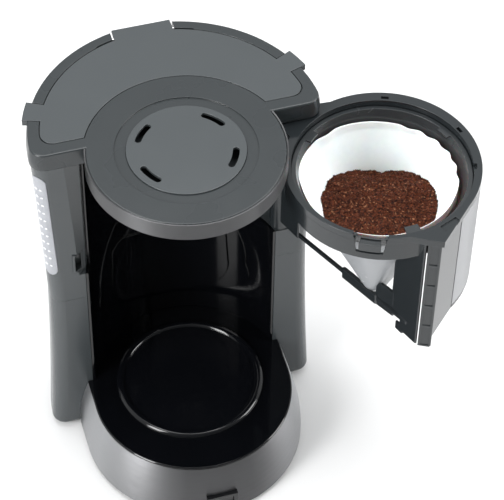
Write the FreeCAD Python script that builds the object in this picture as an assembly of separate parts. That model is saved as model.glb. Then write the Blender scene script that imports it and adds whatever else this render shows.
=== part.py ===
import FreeCAD, Part
import math
import os

# Drip coffee maker with a swing-out filter holder, in millimetres.
# Origin: axis of the hot plate at table level. +X right, +Y to the back, +Z up.
# The filter holder is drawn closed, under the head, and then swung open.

V = FreeCAD.Vector
UP = V(0, 0, 1)
ALONG_X = V(1, 0, 0)
ALONG_Y = V(0, 1, 0)

# ---- driving dimensions -------------------------------------------------------
TOP_Z = 340.0            # top of the head and of the lid
COVER_Z = 324.0          # underside of the top cover
SHOULDER_Z = 199.0       # step in the columns below the filter holder
STRIP_LOW = 196.8        # lower end of the slanted face of the left column
SPLIT_Z = 168.0          # joint between lower and upper housing
PLATFORM_Z = 58.0        # top of the base
HOUSING_Z = 3.0          # lowest edge of the casing
WALL = 2.5               # moulded wall
BACK_Y = 26.5            # centre of the round back
FRONT_Y = 21.0           # front faces of the columns
SET_BACK_Y = 40.0        # front face of the upper right column
COLUMN_CORNER = 11.0     # rounding of the column fronts
FOOT_ROUNDING = 6.0      # rounding of the columns at the table
BAY_R = 81.5             # hollow of the back, about the origin
LINER_R = 79.3           # face of the glossy liner
HEAD_R = 76.4            # head with its steel band
BAND_T = 1.2             # thickness of the steel bands
LOWER_RADII = (114.0, 110.0, 107.7)     # back radius at bottom, middle and top
UPPER_RADII = (107.7, 109.8, 113.0)
COVER_RADII = (114.0, 114.2, 112.6)
DOME_Y = -9.0            # centre of the round front of the base
BASE_PROFILE = ((82.0, 55.5), (88.2, 34.0), (90.8, 5.0))   # radius and height, core of the base
LID_R = 103.2            # lid edge about the back centre
LID_BAY_R = 77.6         # hollow front edge of the lid
FINGER_R = 117.2         # reach of the finger tabs
LID_Z = 337.6            # underside of the lid plate
LID_AXIS = (130.5, 337.4)               # y and z of the lid hinge
LID_TAB_HALF = 23.5      # half width of the lid's hinge tab
LID_TAB_BACK = 138.4     # its rear edge
LID_SLIT = 1.5           # gap beside the tab
LID_PIN_R = 1.2
PLATE_BEAD_R = 61.6
SWING_X, SWING_Y = 84.1, 29.3           # filter hinge
SWING_OPEN = 112.0       # degrees, rest pose
HOLDER_R = 75.0
HOLDER_TOP = 322.0
LATCH_LOW = 198.0        # lower end of the latch bar
RIM_OFFSET = 2.5         # the holder's opening is off its axis, towards the thumb notch
RIM_R = 69.0
RIM_TOP = 316.4
MOUTH_R = 67.0              # outside of the basket's mouth, at the height of its rim
RUNNING = 0.05           # radial clearance of a turning fit
HOSE_R, HOSE_BORE = 4.2, 3.0
TANK_FLOOR = 172.0
INLET_X, RISER_X = -40.0, 40.0
HOSE_Y = 96.0
HEATER_Z = 46.0
SPRAY_Z = 331.6          # height of the tube in the head
SWITCH_Z = 19.0
SWITCH_Y = -98.6
ROCKER_TILT = 6.0


# ---- small helpers --------------------------------------------------------------
def cylinder(radius, z0, z1, x=0.0, y=0.0):
    return Part.makeCylinder(radius, z1 - z0, V(x, y, z0))


def tube(r_out, r_in, z0, z1, x=0.0, y=0.0):
    return cylinder(r_out, z0, z1, x, y).cut(cylinder(r_in, z0, z1, x, y))


def box(x0, x1, y0, y1, z0, z1):
    return Part.makeBox(x1 - x0, y1 - y0, z1 - z0, V(x0, y0, z0))


def polar(radius, angle, z=0.0, y=0.0):
    a = math.radians(angle)
    return V(radius * math.cos(a), y + radius * math.sin(a), z)


def face_of(points):
    return Part.Face(Part.makePolygon(points + [points[0]]))


def prism(points, z0, z1):
    flat = [V(x, y, z0) for x, y in points]
    return face_of(flat).extrude(V(0, 0, z1 - z0))


def sector(r_in, r_out, a0, a1, z0, z1, y=0.0):
    """Ring sector about (0, y), angles in degrees."""
    half = 0.5 * (a0 + a1)
    edges = [
        Part.Arc(*[polar(r_out, a, z0, y) for a in (a0, half, a1)]).toShape(),
        Part.makeLine(polar(r_out, a1, z0, y), polar(r_in, a1, z0, y)),
        Part.Arc(*[polar(r_in, a, z0, y) for a in (a1, half, a0)]).toShape(),
        Part.makeLine(polar(r_in, a0, z0, y), polar(r_out, a0, z0, y)),
    ]
    return Part.Face(Part.Wire(edges)).extrude(V(0, 0, z1 - z0))


def turned(points, x=0.0, y=0.0):
    """Solid of revolution about the vertical through (x, y) from (radius, z) points."""
    return face_of([V(x + r, y, z) for r, z in points]).revolve(V(x, y, 0), UP, 360)


def plank(x0, y0, x1, y1, thick, z0, z1):
    """Upright wall between two plan points, with round ends."""
    run = V(x1 - x0, y1 - y0, 0)
    side = V(-run.y, run.x, 0).normalize() * (thick / 2)
    a, b = V(x0, y0, z0), V(x1, y1, z0)
    wall = face_of([a + side, b + side, b - side, a - side]).extrude(V(0, 0, z1 - z0))
    ends = [cylinder(thick / 2, z0, z1, x0, y0), cylinder(thick / 2, z0, z1, x1, y1)]
    return wall.multiFuse(ends).removeSplitter()


def hose(points, bend, r_out, r_in):
    """Round tube along straight runs joined by tangent arcs."""
    edges = []
    start = V(*points[0])
    for before, corner, after in zip(points, points[1:], points[2:]):
        corner = V(*corner)
        into = (corner - V(*before)).normalize()
        out = (V(*after) - corner).normalize()
        turn = into.getAngle(out)
        reach = bend * math.tan(turn / 2)
        p, q = corner - into * reach, corner + out * reach
        inward = (out - into).normalize()
        centre = corner + inward * (bend / math.cos(turn / 2))
        edges += [Part.makeLine(start, p), Part.Arc(p, centre - inward * bend, q).toShape()]
        start = q
    edges.append(Part.makeLine(start, V(*points[-1])))
    path = Part.Wire(edges)
    way = V(*points[1]) - V(*points[0])

    def swept(radius):
        ring = Part.Wire([Part.makeCircle(radius, V(*points[0]), way)])
        return path.makePipeShell([ring], True, False)

    body = swept(r_out)
    return body.cut(swept(r_in)) if r_in else body


def swing(shape, angle=SWING_OPEN):
    opened = shape.copy()
    opened.rotate(V(SWING_X, SWING_Y, 0), UP, angle)
    return opened


# ---- the crescent back ---------------------------------------------------------
def back_outline(z, radius, inset, right_front, left_front, corner):
    """Closed plan wire at one height: round back, flat fronts, tangent corner arcs."""
    r = radius - inset
    c = max(corner - inset, 0.5)
    corners = []
    for side, front in ((1, right_front + inset), (-1, left_front + inset)):
        cy = front + c
        cx = side * math.sqrt((r - c) ** 2 - (cy - BACK_Y) ** 2)
        out = math.atan2(cy - BACK_Y, cx)
        on_back = V(r * math.cos(out), BACK_Y + r * math.sin(out), z)
        facing = V(math.cos(out), math.sin(out), 0) + V(0, -1, 0)
        middle = V(cx, cy, z) + facing.normalize() * c
        corners.append((V(cx, front, z), middle, on_back))
    right, left = corners
    edges = [
        Part.makeLine(V(0, right_front + inset, z), right[0]),
        Part.Arc(*right).toShape(),
        Part.Arc(right[2], V(0, BACK_Y + r, z), left[2]).toShape(),
        Part.Arc(left[2], left[1], left[0]).toShape(),
        Part.makeLine(left[0], V(0, left_front + inset, z)),
    ]
    if right_front != left_front:
        edges.append(Part.makeLine(V(0, left_front + inset, z), V(0, right_front + inset, z)))
    return Part.Wire(edges)


def back_block(z0, z1, radii, inset=0.0, right_front=FRONT_Y, left_front=FRONT_Y, corner=COLUMN_CORNER):
    """Round back with flat column fronts and rounded front corners, not yet hollowed by the bay."""
    heights = (z0, (z0 + z1) / 2, z1)
    wires = [back_outline(z, r, inset, right_front, left_front, corner) for z, r in zip(heights, radii)]
    return Part.makeLoft(wires, True, False)


def rounded_foot(z0, radius, rounding):
    """Lowest slice of the back, rounded under."""
    wires = []
    for angle in (0, 30, 60, 90):
        a = math.radians(angle)
        inset = rounding * (1 - math.sin(a))
        z = z0 + rounding * (1 - math.cos(a))
        wires.append(back_outline(z, radius, inset, FRONT_Y, FRONT_Y, COLUMN_CORNER))
    return Part.makeLoft(wires, True, False)


def upper_radii(z0, z1):
    """Back radii of the upper housing between two heights."""
    return tuple(upper_radius(z) for z in (z0, (z0 + z1) / 2, z1))


def upper_radius(z):
    low, mid, high = UPPER_RADII
    t = (z - SPLIT_Z) / (COVER_Z - SPLIT_Z)
    return low * (1 - t) * (1 - 2 * t) + 4 * mid * t * (1 - t) + high * t * (2 * t - 1)


def d_block(points):
    """Round front and straight sides of the base, from (radius, z) points that start and end on r = 0."""
    half = face_of([V(r, DOME_Y, z) for r, z in points])
    round_front = half.revolve(V(0, DOME_Y, 0), UP, -180)
    run = V(0, FRONT_Y - 0.2 - DOME_Y, 0)
    right = half.extrude(run)
    left = face_of([V(-r, DOME_Y, z) for r, z in points]).extrude(run)
    return round_front.multiFuse([right, left]).removeSplitter()


def base_outline(offset, z_low):
    """(radius, z) points of the bulging base wall."""
    (r0, z0), (r1, z1), (r2, z2) = BASE_PROFILE
    circle = Part.Arc(V(r0, 0, z0), V(r1, 0, z1), V(r2, 0, z2)).toShape()
    steps = 8
    first, last = circle.FirstParameter, circle.LastParameter
    ring = [circle.valueAt(first + (last - first) * i / steps) for i in range(steps + 1)]
    points = [(p.x + offset, p.z) for p in ring]
    points[-1] = (points[-1][0], z_low)
    return points


# ---- casing --------------------------------------------------------------------
def lower_housing():
    shell = back_block(HOUSING_Z + FOOT_ROUNDING, SPLIT_Z, LOWER_RADII)
    shell = shell.fuse(rounded_foot(HOUSING_Z, LOWER_RADII[0], FOOT_ROUNDING))
    shell = shell.cut(cylinder(BAY_R, 0, SPLIT_Z))
    void = back_block(HOUSING_Z + FOOT_ROUNDING, SPLIT_Z - WALL, LOWER_RADII, WALL)
    mouth = (LOWER_RADII[0] - 3,) * 3
    void = void.fuse(back_block(HOUSING_Z - 1, HOUSING_Z + FOOT_ROUNDING, mouth, WALL))
    void = void.cut(cylinder(BAY_R + WALL, PLATFORM_Z - WALL, SPLIT_Z))
    shell = shell.cut(void)
    for x, y in HOUSING_POSTS:
        shell = shell.fuse(cylinder(4.5, 5.5, SPLIT_Z - WALL, x, y))
        shell = shell.cut(cylinder(1.6, 5, 22, x, y))
    for x in (INLET_X, RISER_X):
        shell = shell.cut(cylinder(9, SPLIT_Z - WALL - 1, SPLIT_Z, x, HOSE_Y))
    gland = Part.makeCylinder(GLAND_R, 20, V(GLAND_X, 120, GLAND_Z), ALONG_Y)
    return shell.cut(gland)


HOUSING_POSTS = ((-92.0, 60.0), (92.0, 60.0))
BASE_POSTS = ((-68.0, -28.0), (68.0, -28.0))
GLAND_X, GLAND_Z, GLAND_R = 40.0, 22.0, 6.0
STRIP_LEFT_LOW = V(-89.0, 17.0, 0)      # slanted face of the left column, outer point in plan
STRIP_LEFT_TOP = V(-96.0, 18.4, 0)      # the same at the top, where the face is wider
STRIP_RIGHT = V(-75.5, 27.4, 0)


def strip_outline(offset, z):
    """Plan of the space in front of the slanted face at one height."""
    t = (z - SHOULDER_Z) / (COVER_Z - SHOULDER_Z)
    left = STRIP_LEFT_LOW + (STRIP_LEFT_TOP - STRIP_LEFT_LOW) * t
    run = (STRIP_RIGHT - left).normalize()
    back = V(-run.y, run.x, 0)
    rise = V(0, 0, z)
    a = left - run * 40 + back * offset + rise
    b = STRIP_RIGHT + run * 10 + back * offset + rise
    return Part.makePolygon([a, b, b - back * 60, a - back * 60, a])


def strip_cut(offset, z0, z1):
    """Space in front of the slanted face of the left column."""
    return Part.makeLoft([strip_outline(offset, z0), strip_outline(offset, z1)], True, True)


def upper_block(inset, z0):
    """Upper casing above the shoulder, with the set-back right column and the slanted left face."""
    block = back_block(z0, COVER_Z, upper_radii(z0, COVER_Z), inset, right_front=SET_BACK_Y)
    block = block.cut(cylinder(BAY_R + inset, 0, TOP_Z))
    return block.cut(strip_cut(inset, z0 - 1, TOP_Z))


def upper_housing():
    foot = back_block(SPLIT_Z, SHOULDER_Z, upper_radii(SPLIT_Z, SHOULDER_Z))
    foot = foot.cut(cylinder(BAY_R, 0, TOP_Z)).cut(strip_cut(0, STRIP_LOW, SHOULDER_Z))
    shell = foot.fuse(upper_block(0, SHOULDER_Z)).removeSplitter()
    solid_corner = box(-115, -60, 0, 50, TANK_FLOOR - 1, SHOULDER_Z + WALL)
    void = upper_block(WALL, TANK_FLOOR).cut(solid_corner)
    shell = shell.cut(void)
    chimney = tube(6.4, HOSE_R + 0.3, SPLIT_Z, COVER_Z - 6, RISER_X, HOSE_Y)
    shell = shell.fuse(chimney).cut(cylinder(HOSE_R + 0.3, SPLIT_Z - 1, COVER_Z - 6, RISER_X, HOSE_Y))
    shell = shell.cut(cylinder(3.4, SPLIT_Z - 1, TANK_FLOOR + 1, INLET_X, HOSE_Y))
    shell = shell.cut(cylinder(3.0, SHOULDER_Z - 14, SHOULDER_Z, SWING_X, SWING_Y))
    shell = shell.cut(window_prism())
    return shell.cut(catch_pocket())


WINDOW_Z = (201.0, 315.0)
WINDOW_WIDTH = 13.0


def window_prism():
    """Slanted rounded bar that crosses the left front corner."""
    z0, z1 = WINDOW_Z
    half = WINDOW_WIDTH / 2
    mid = (z0 + z1) / 2
    rise = (z1 - z0) / 2 - half
    edges = [
        Part.makeLine(V(0, half, -rise), V(0, half, rise)),
        Part.Arc(V(0, half, rise), V(0, 0, rise + half), V(0, -half, rise)).toShape(),
        Part.makeLine(V(0, -half, rise), V(0, -half, -rise)),
        Part.Arc(V(0, -half, -rise), V(0, 0, -rise - half), V(0, half, -rise)).toShape(),
    ]
    bar = Part.Face(Part.Wire(edges)).extrude(V(24, 0, 0))
    bar.translate(V(-12, 0, 0))
    bar.rotate(V(0, 0, 0), UP, 38)
    lean = math.degrees(math.atan2(upper_radius(z1) - upper_radius(z0), z1 - z0))
    bar.rotate(V(0, 0, 0), ALONG_Y, -lean)
    bar.translate(V(-upper_radius(mid) + 3.4, FRONT_Y + 5.0, mid))
    return bar


def window_solid():
    z0 = SHOULDER_Z
    outer = back_block(z0, COVER_Z, upper_radii(z0, COVER_Z), -0.4, right_front=SET_BACK_Y)
    inner = back_block(z0, COVER_Z, upper_radii(z0, COVER_Z), WALL, right_front=SET_BACK_Y)
    return outer.cut(inner).common(window_prism())


def catch_pocket():
    return box(-88.5, -79.0, 10, 30.5, 201.0, 222.0)


def latch_catch():
    """Socket that the snap of the filter holder drops into."""
    block = box(-88.5, -79.0, 20.0, 30.4, 201.0, 222.0).cut(strip_cut(0.2, 190, 230))
    block = block.cut(box(-86.5, -81.0, 10, 28.4, 203.0, 220.0))
    return block


def bay_liner():
    """Glossy wall of the bay, with a raised field and a rounded panel on it."""
    floor = PLATFORM_Z - WALL
    low = sector(LINER_R, BAY_R - 0.1, 15.3, 164.7, floor, STRIP_LOW - 0.4)
    step = sector(LINER_R, BAY_R - 0.1, 15.3, 157.5, STRIP_LOW - 0.4, SHOULDER_Z)
    high = sector(LINER_R, BAY_R - 0.1, 30.0, 157.5, SHOULDER_Z, COVER_Z)
    return low.multiFuse([step, high, outer_field(), inner_panel()]).removeSplitter()


def on_bay_wall(edges, relief):
    """Part of the bay wall inside an outline drawn in the XZ plane, raised by its relief."""
    field = Part.Face(Part.Wire(edges)).extrude(V(0, 60, 0))
    skin = tube(LINER_R + 0.2, LINER_R - relief, field.BoundBox.ZMin - 1, field.BoundBox.ZMax + 1)
    return field.common(skin)


def outer_field():
    half, foot, low, widest, top = 62.0, 50.0, 92.0, 132.0, 196.0
    edges = [
        Part.Arc(V(-foot, 20, low), V(0, 20, low - 8), V(foot, 20, low)).toShape(),
        Part.Arc(V(foot, 20, low), V(half - 3.5, 20, low + 9), V(half, 20, widest)).toShape(),
        Part.Arc(V(half, 20, widest), V(57.5, 20, 168), V(44, 20, top)).toShape(),
        Part.makeLine(V(44, 20, top), V(-44, 20, top)),
        Part.Arc(V(-44, 20, top), V(-57.5, 20, 168), V(-half, 20, widest)).toShape(),
        Part.Arc(V(-half, 20, widest), V(-half + 3.5, 20, low + 9), V(-foot, 20, low)).toShape(),
    ]
    return on_bay_wall(edges, 0.6)


def inner_panel():
    half, low, top = 49.5, 80.5, 174.5
    edges = [
        Part.Arc(V(-42, 20, low + 17.5), V(0, 20, low), V(42, 20, low + 17.5)).toShape(),
        Part.Arc(V(42, 20, low + 17.5), V(48.2, 20, low + 31), V(half, 20, low + 48)).toShape(),
        Part.makeLine(V(half, 20, low + 48), V(48, 20, top - 14)),
        Part.Arc(V(48, 20, top - 14), V(45, 20, top - 3), V(36, 20, top)).toShape(),
        Part.Arc(V(36, 20, top), V(0, 20, top - 9), V(-36, 20, top)).toShape(),
        Part.Arc(V(-36, 20, top), V(-45, 20, top - 3), V(-48, 20, top - 14)).toShape(),
        Part.makeLine(V(-48, 20, top - 14), V(-half, 20, low + 48)),
        Part.Arc(V(-half, 20, low + 48), V(-48.2, 20, low + 31), V(-42, 20, low + 17.5)).toShape(),
    ]
    return on_bay_wall(edges, 1.8)


# ---- top cover and lid -----------------------------------------------------------
def lid_plan(offset, z0, z1):
    """Plan of the lid: round back, hollow front, rounded shoulders."""
    block = cylinder(LID_R + offset, z0, z1, 0, BACK_Y)
    block = block.cut(box(-200, 200, -200, 32.0 - offset, z0 - 1, z1 + 1))
    corners = [e for e in block.Edges if e.BoundBox.ZLength > 0.9 * (z1 - z0) and abs(e.CenterOfMass.x) > 80]
    block = block.makeFillet(10.0, corners)
    return block.cut(cylinder(LID_BAY_R - offset, z0 - 1, z1 + 1))


FINGER_ANGLES = (17.5, 27.0)


def finger_sides():
    """Angle ranges of the right and the left finger tab."""
    a0, a1 = FINGER_ANGLES
    return (a0, a1), (180 - a1, 180 - a0)


def top_cover():
    ears = back_block(COVER_Z, TOP_Z, COVER_RADII)
    ears_void = back_block(COVER_Z, TOP_Z - 3, COVER_RADII, WALL)
    head = cylinder(HEAD_R - BAND_T, COVER_Z, TOP_Z)
    head_void = cylinder(HEAD_R - BAND_T - WALL, COVER_Z, TOP_Z - 3)
    cover = head.fuse(ears).removeSplitter()
    cover = cover.makeFillet(1.2, top_rim(cover))
    cover = cover.cut(head_void.fuse(ears_void))
    ledge = lid_plan(2.5, LID_Z - 1.9, LID_Z - 0.2).common(back_block(COVER_Z, TOP_Z, COVER_RADII, 1.0))
    cover = cover.fuse(ledge)
    notch = LID_TAB_HALF + LID_SLIT
    for x0 in (notch, -notch - 6):
        cover = cover.fuse(box(x0, x0 + 6, 127, 134.5, COVER_Z + 4, TOP_Z - 1.5))
    boss = cylinder(6.5, COVER_Z, TOP_Z - 2, SWING_X, SWING_Y)
    cover = cover.fuse(boss).cut(cylinder(3.0, COVER_Z - 1, TOP_Z - 6, SWING_X, SWING_Y))
    cover = cover.cut(lid_plan(-3.0, COVER_Z, TOP_Z + 1)).cut(lid_plan(0.7, LID_Z - 0.2, TOP_Z + 1))
    cover = cover.cut(sector(LID_R - 3, LID_R + 1.6, 68, 112, LID_Z - 2, TOP_Z + 1, BACK_Y))
    for a0, a1 in finger_sides():
        cover = cover.cut(sector(LID_R - 3, 120, a0 - 0.35, a1 + 0.35, LID_Z - 5, TOP_Z + 1, BACK_Y))
    cover = cover.cut(box(-notch, notch, 122, 150, COVER_Z + 4, TOP_Z + 1))
    y, z = LID_AXIS
    cover = cover.cut(Part.makeCylinder(LID_PIN_R, 60, V(-30, y, z), ALONG_X))
    cover = cover.cut(cylinder(VENT_R + 9, TOP_Z - 1.0, TOP_Z + 1))
    return cover.cut(cylinder(VENT_R + 0.15, COVER_Z, TOP_Z))


def top_rim(shape):
    high = shape.BoundBox.ZMax
    return [e for e in shape.Edges if e.BoundBox.ZMin > high - 0.01]


VENT_R = 45.2
VENT_SLOT_R = 37.2
VENT_SLOT_ANGLES = (41.5, 138.5, 208.7, 331.3)


def head_band():
    band = tube(HEAD_R, HEAD_R - BAND_T, COVER_Z + 1, TOP_Z)
    return band.cut(box(-100, 100, FRONT_Y - 0.1, 100, COVER_Z, TOP_Z + 1))


def vent_insert():
    """Slightly domed disc with four curved slots."""
    dome = Part.makeSphere(2200, V(0, 0, TOP_Z + 0.5 - 2200))
    disc = cylinder(VENT_R, TOP_Z - 4.2, TOP_Z + 1).common(dome)
    disc = disc.cut(cylinder(VENT_R - 2.5, TOP_Z - 5, TOP_Z - 2.2))
    disc = disc.fuse(tube(VENT_R + 3, VENT_R - 2.5, TOP_Z - 4.2, TOP_Z - 3.0))
    for angle in VENT_SLOT_ANGLES:
        half_span = 12.0
        a0, a1 = angle - half_span, angle + half_span
        slot = sector(VENT_SLOT_R - 2.6, VENT_SLOT_R + 2.6, a0, a1, TOP_Z - 8, TOP_Z + 2)
        for end in (a0, a1):
            p = polar(VENT_SLOT_R, end)
            slot = slot.fuse(cylinder(2.6, TOP_Z - 8, TOP_Z + 2, p.x, p.y))
        disc = disc.cut(slot)
    return disc


def tank_lid():
    lid = lid_plan(0, LID_Z, TOP_Z)
    for a0, a1 in finger_sides():
        lid = lid.fuse(sector(LID_R - 2.2, FINGER_R, a0, a1, LID_Z - 3, TOP_Z, BACK_Y))
    y, z = LID_AXIS
    lid = lid.fuse(box(-LID_TAB_HALF, LID_TAB_HALF, 120, LID_TAB_BACK, LID_Z, TOP_Z)).removeSplitter()
    lid = lid.fuse(Part.makeCylinder(2.4, 2 * LID_TAB_HALF, V(-LID_TAB_HALF, y, z), ALONG_X))
    return lid.cut(Part.makeCylinder(LID_PIN_R + RUNNING, 60, V(-30, y, z), ALONG_X))


def lid_hinge_pin():
    y, z = LID_AXIS
    return Part.makeCylinder(LID_PIN_R, 58, V(-29, y, z), ALONG_X)


def head_under_cover():
    disc = cylinder(HEAD_R - BAND_T - WALL - 0.2, COVER_Z, COVER_Z + 2)
    disc = disc.cut(cylinder(16, COVER_Z - 1, COVER_Z + 3))
    return disc.cut(box(-100, 100, 60, 100, COVER_Z - 1, COVER_Z + 3))


def spray_head():
    """Shower disc with a ring of small holes, fed from above."""
    head = cylinder(15.8, COVER_Z - 0.7, COVER_Z + 2).fuse(cylinder(18.5, COVER_Z + 2, COVER_Z + 3.6))
    head = head.cut(cylinder(13.5, COVER_Z + 0.8, COVER_Z + 2.8))
    head = head.fuse(cylinder(5.5, COVER_Z + 2.8, SPRAY_Z + 5)).cut(cylinder(2.4, COVER_Z + 1, SPRAY_Z))
    for i in range(12):
        p = polar(9.5, 30 * i)
        head = head.cut(cylinder(1.0, COVER_Z - 2, COVER_Z + 1, p.x, p.y))
    toward = V(RISER_X, HOSE_Y, 0).normalize()
    spigot = Part.makeCylinder(HOSE_BORE, 14, V(0, 0, SPRAY_Z), toward)
    return head.fuse(spigot).cut(Part.makeCylinder(2.0, 15, V(0, 0, SPRAY_Z), toward))


# ---- base ----------------------------------------------------------------------
def base_platform():
    wall = base_outline(0, HOUSING_Z)
    core = d_block([(0, PLATFORM_Z - WALL)] + wall + [(0, HOUSING_Z)])
    roof = PLATFORM_Z - WALL - 0.5
    inner = [(r - WALL, z) for r, z in wall]
    inner[0] = (inner[0][0], roof)
    inner[-1] = (inner[-1][0], HOUSING_Z - 1)
    void = d_block([(0, roof)] + inner + [(0, HOUSING_Z - 1)])
    void = void.fuse(box(-77, 77, 0, FRONT_Y + 5, HOUSING_Z - 1, roof))
    edge = d_block([(0, PLATFORM_Z - WALL), (83.0, PLATFORM_Z - WALL), (83.3, PLATFORM_Z - 0.8),
                    (82.5, PLATFORM_Z), (0, PLATFORM_Z)])
    rear = cylinder(LINER_R - 0.2, roof, PLATFORM_Z)
    shell = core.multiFuse([edge, rear]).cut(void)
    for x, y in BASE_POSTS:
        shell = shell.fuse(cylinder(4.5, 5.5, PLATFORM_Z - 1, x, y)).cut(cylinder(1.6, 5, 22, x, y))
    shell = shell.cut(cylinder(58.2, PLATFORM_Z - 10, PLATFORM_Z + 1))
    return shell.cut(switch_hole())


def switch_hole():
    return box(-11.5, 11.5, -110, -80, SWITCH_Z - 7.5, SWITCH_Z + 7.5)


def band_outside():
    outer = base_outline(BAND_T, HOUSING_Z + 1.5)
    outer[0] = (outer[0][0], PLATFORM_Z - WALL)
    return d_block([(0, outer[0][1])] + outer + [(0, HOUSING_Z + 1.5)])


def base_band():
    inner = base_outline(0, HOUSING_Z + 1.5)
    skin = band_outside().cut(d_block([(0, inner[0][1])] + inner + [(0, HOUSING_Z + 1.5)]))
    return skin.cut(switch_hole())


def bottom_cover():
    """Flat plate with a round moulded pad at its centre that also meets the table."""
    z0, z1 = HOUSING_Z, HOUSING_Z + WALL
    inset = WALL + 0.3
    back = back_block(z0, z1, (LOWER_RADII[0] - 3.5,) * 3, inset)
    r = base_outline(-inset, HOUSING_Z)[-2][0]
    front = d_block([(0, z1), (r, z1), (r, z0), (0, z0)])
    plate = back.multiFuse([front, box(-75, 75, 10, 40, z0, z1), cylinder(20, 0, z1)]).removeSplitter()
    plate = plate.fuse(tube(27, 25.5, 1.2, z0))
    for x, y in HOUSING_POSTS + BASE_POSTS:
        plate = plate.cut(cylinder(1.7, z0 - 1, z1 + 1, x, y)).cut(cylinder(3.4, z0 - 1, z0 + 1.2, x, y))
    for x, y in FEET:
        plate = plate.cut(cylinder(2.5, z0 - 1, z1 + 1, x, y))
    return plate


FEET = ((-56.0, -58.0), (56.0, -58.0), (-80.0, 84.0), (80.0, 84.0))


def rubber_feet():
    pads = []
    for x, y in FEET:
        pad = turned([(0, 0), (6.5, 0), (7.5, 0.8), (8.0, HOUSING_Z), (2.5, HOUSING_Z),
                      (2.5, HOUSING_Z + WALL), (0, HOUSING_Z + WALL)], x, y)
        pads.append(pad)
    return Part.makeCompound(pads)


def housing_screws():
    screws = []
    for x, y in HOUSING_POSTS + BASE_POSTS:
        screw = cylinder(1.6, 4.0, 20, x, y).fuse(cylinder(3.2, 2.4, HOUSING_Z + 1.2, x, y))
        screw = screw.cut(box(x - 2.2, x + 2.2, y - 0.4, y + 0.4, 2.4, 3.0))
        screws.append(screw.cut(box(x - 0.4, x + 0.4, y - 2.2, y + 2.2, 2.4, 3.0)))
    return Part.makeCompound(screws)


def hot_plate():
    z = PLATFORM_Z
    edges = [
        Part.makeLine(V(0, 0, z + 1.2), V(54.8, 0, z + 1.2)),
        Part.Arc(V(54.8, 0, z + 1.2), V(58.4, 0, z + 3.4), V(PLATE_BEAD_R, 0, z + 0.8)).toShape(),
        Part.makeLine(V(PLATE_BEAD_R, 0, z + 0.8), V(57.9, 0, z + 0.8)),
        Part.makeLine(V(57.9, 0, z + 0.8), V(57.9, 0, z - 4)),
        Part.makeLine(V(57.9, 0, z - 4), V(56.6, 0, z - 4)),
        Part.makeLine(V(56.6, 0, z - 4), V(56.6, 0, z - 0.4)),
        Part.makeLine(V(56.6, 0, z - 0.4), V(0, 0, z - 0.4)),
        Part.makeLine(V(0, 0, z - 0.4), V(0, 0, z + 1.2)),
    ]
    return Part.Face(Part.Wire(edges)).revolve(V(0, 0, 0), UP, 360)


def plate_gasket():
    return tube(PLATE_BEAD_R - 0.6, 58.2, PLATFORM_Z, PLATFORM_Z + 0.8)


# ---- water path -----------------------------------------------------------------
def heater_u(leg, z, radius):
    """Solid U with its round part at the front."""
    bend = Part.makeTorus(RISER_X, radius, V(0, 0, z), UP).common(box(-80, 80, -80, 0, z - 20, z + 20))
    legs = [Part.makeCylinder(radius, leg, V(x, 0, z), ALONG_Y) for x in (-RISER_X, RISER_X)]
    return bend.multiFuse(legs).removeSplitter()


def water_hose(side_x, top):
    points = [(side_x, 60, HEATER_Z), (side_x, HOSE_Y, HEATER_Z), (side_x, HOSE_Y, top)]
    return hose(points, 16, HOSE_R, HOSE_BORE)


def riser_hose():
    points = [(RISER_X, 60, HEATER_Z), (RISER_X, HOSE_Y, HEATER_Z), (RISER_X, HOSE_Y, SPRAY_Z),
              tuple(V(RISER_X, HOSE_Y, 0).normalize() * 7.0 + V(0, 0, SPRAY_Z))]
    return hose(points, 12, HOSE_R - 0.4, HOSE_BORE)


VALVE_Z0 = 150.0
BALL_R = 3.6


def check_valve_body():
    body = cylinder(7.5, VALVE_Z0, SPLIT_Z, INLET_X, HOSE_Y)
    body = body.fuse(cylinder(3.3, SPLIT_Z - 1, TANK_FLOOR + 1.5, INLET_X, HOSE_Y))
    body = body.fuse(cylinder(HOSE_BORE, VALVE_Z0 - 12, VALVE_Z0, INLET_X, HOSE_Y))
    body = body.cut(cylinder(BALL_R + 0.5, VALVE_Z0 + 3, VALVE_Z0 + 12, INLET_X, HOSE_Y))
    body = body.cut(cylinder(2.0, VALVE_Z0 - 13, TANK_FLOOR + 2, INLET_X, HOSE_Y))
    bypass = box(-4, 4, -0.7, 0.7, VALVE_Z0 + 1.5, VALVE_Z0 + 3.1)
    bypass.translate(V(INLET_X, HOSE_Y, 0))
    return body.cut(bypass)


def check_valve_ball():
    seat = math.sqrt(BALL_R ** 2 - 2.0 ** 2)
    return Part.makeSphere(BALL_R, V(INLET_X, HOSE_Y, VALVE_Z0 + 3 + seat + 0.1))


def hose_clamps():
    places = [
        (V(INLET_X, HOSE_Y, VALVE_Z0 - 8), UP, HOSE_R),
        (V(INLET_X, 63, HEATER_Z), ALONG_Y, HOSE_R),
        (V(RISER_X, 63, HEATER_Z), ALONG_Y, HOSE_R - 0.4),
    ]
    rings = []
    for point, way, inner in places:
        ring = Part.makeCylinder(inner + 0.8, 5, point, way).cut(Part.makeCylinder(inner, 5, point, way))
        rings.append(ring)
    return Part.makeCompound(rings)


def tank_strainer():
    profile = [(3.5, 0), (7.0, 0), (7.0, 6), (0, 9), (0, 8), (6.0, 5.4), (6.0, 1), (3.5, 1)]
    mesh = turned([(r, TANK_FLOOR + z) for r, z in profile], INLET_X, HOSE_Y)
    for i in range(4):
        mesh = mesh.cut(slit(i * 45))
    return mesh


def slit(angle):
    bar = box(-10, 10, -0.7, 0.7, TANK_FLOOR + 1.6, TANK_FLOOR + 4.8)
    bar.rotate(V(0, 0, 0), UP, angle)
    bar.translate(V(INLET_X, HOSE_Y, 0))
    return bar


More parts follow.
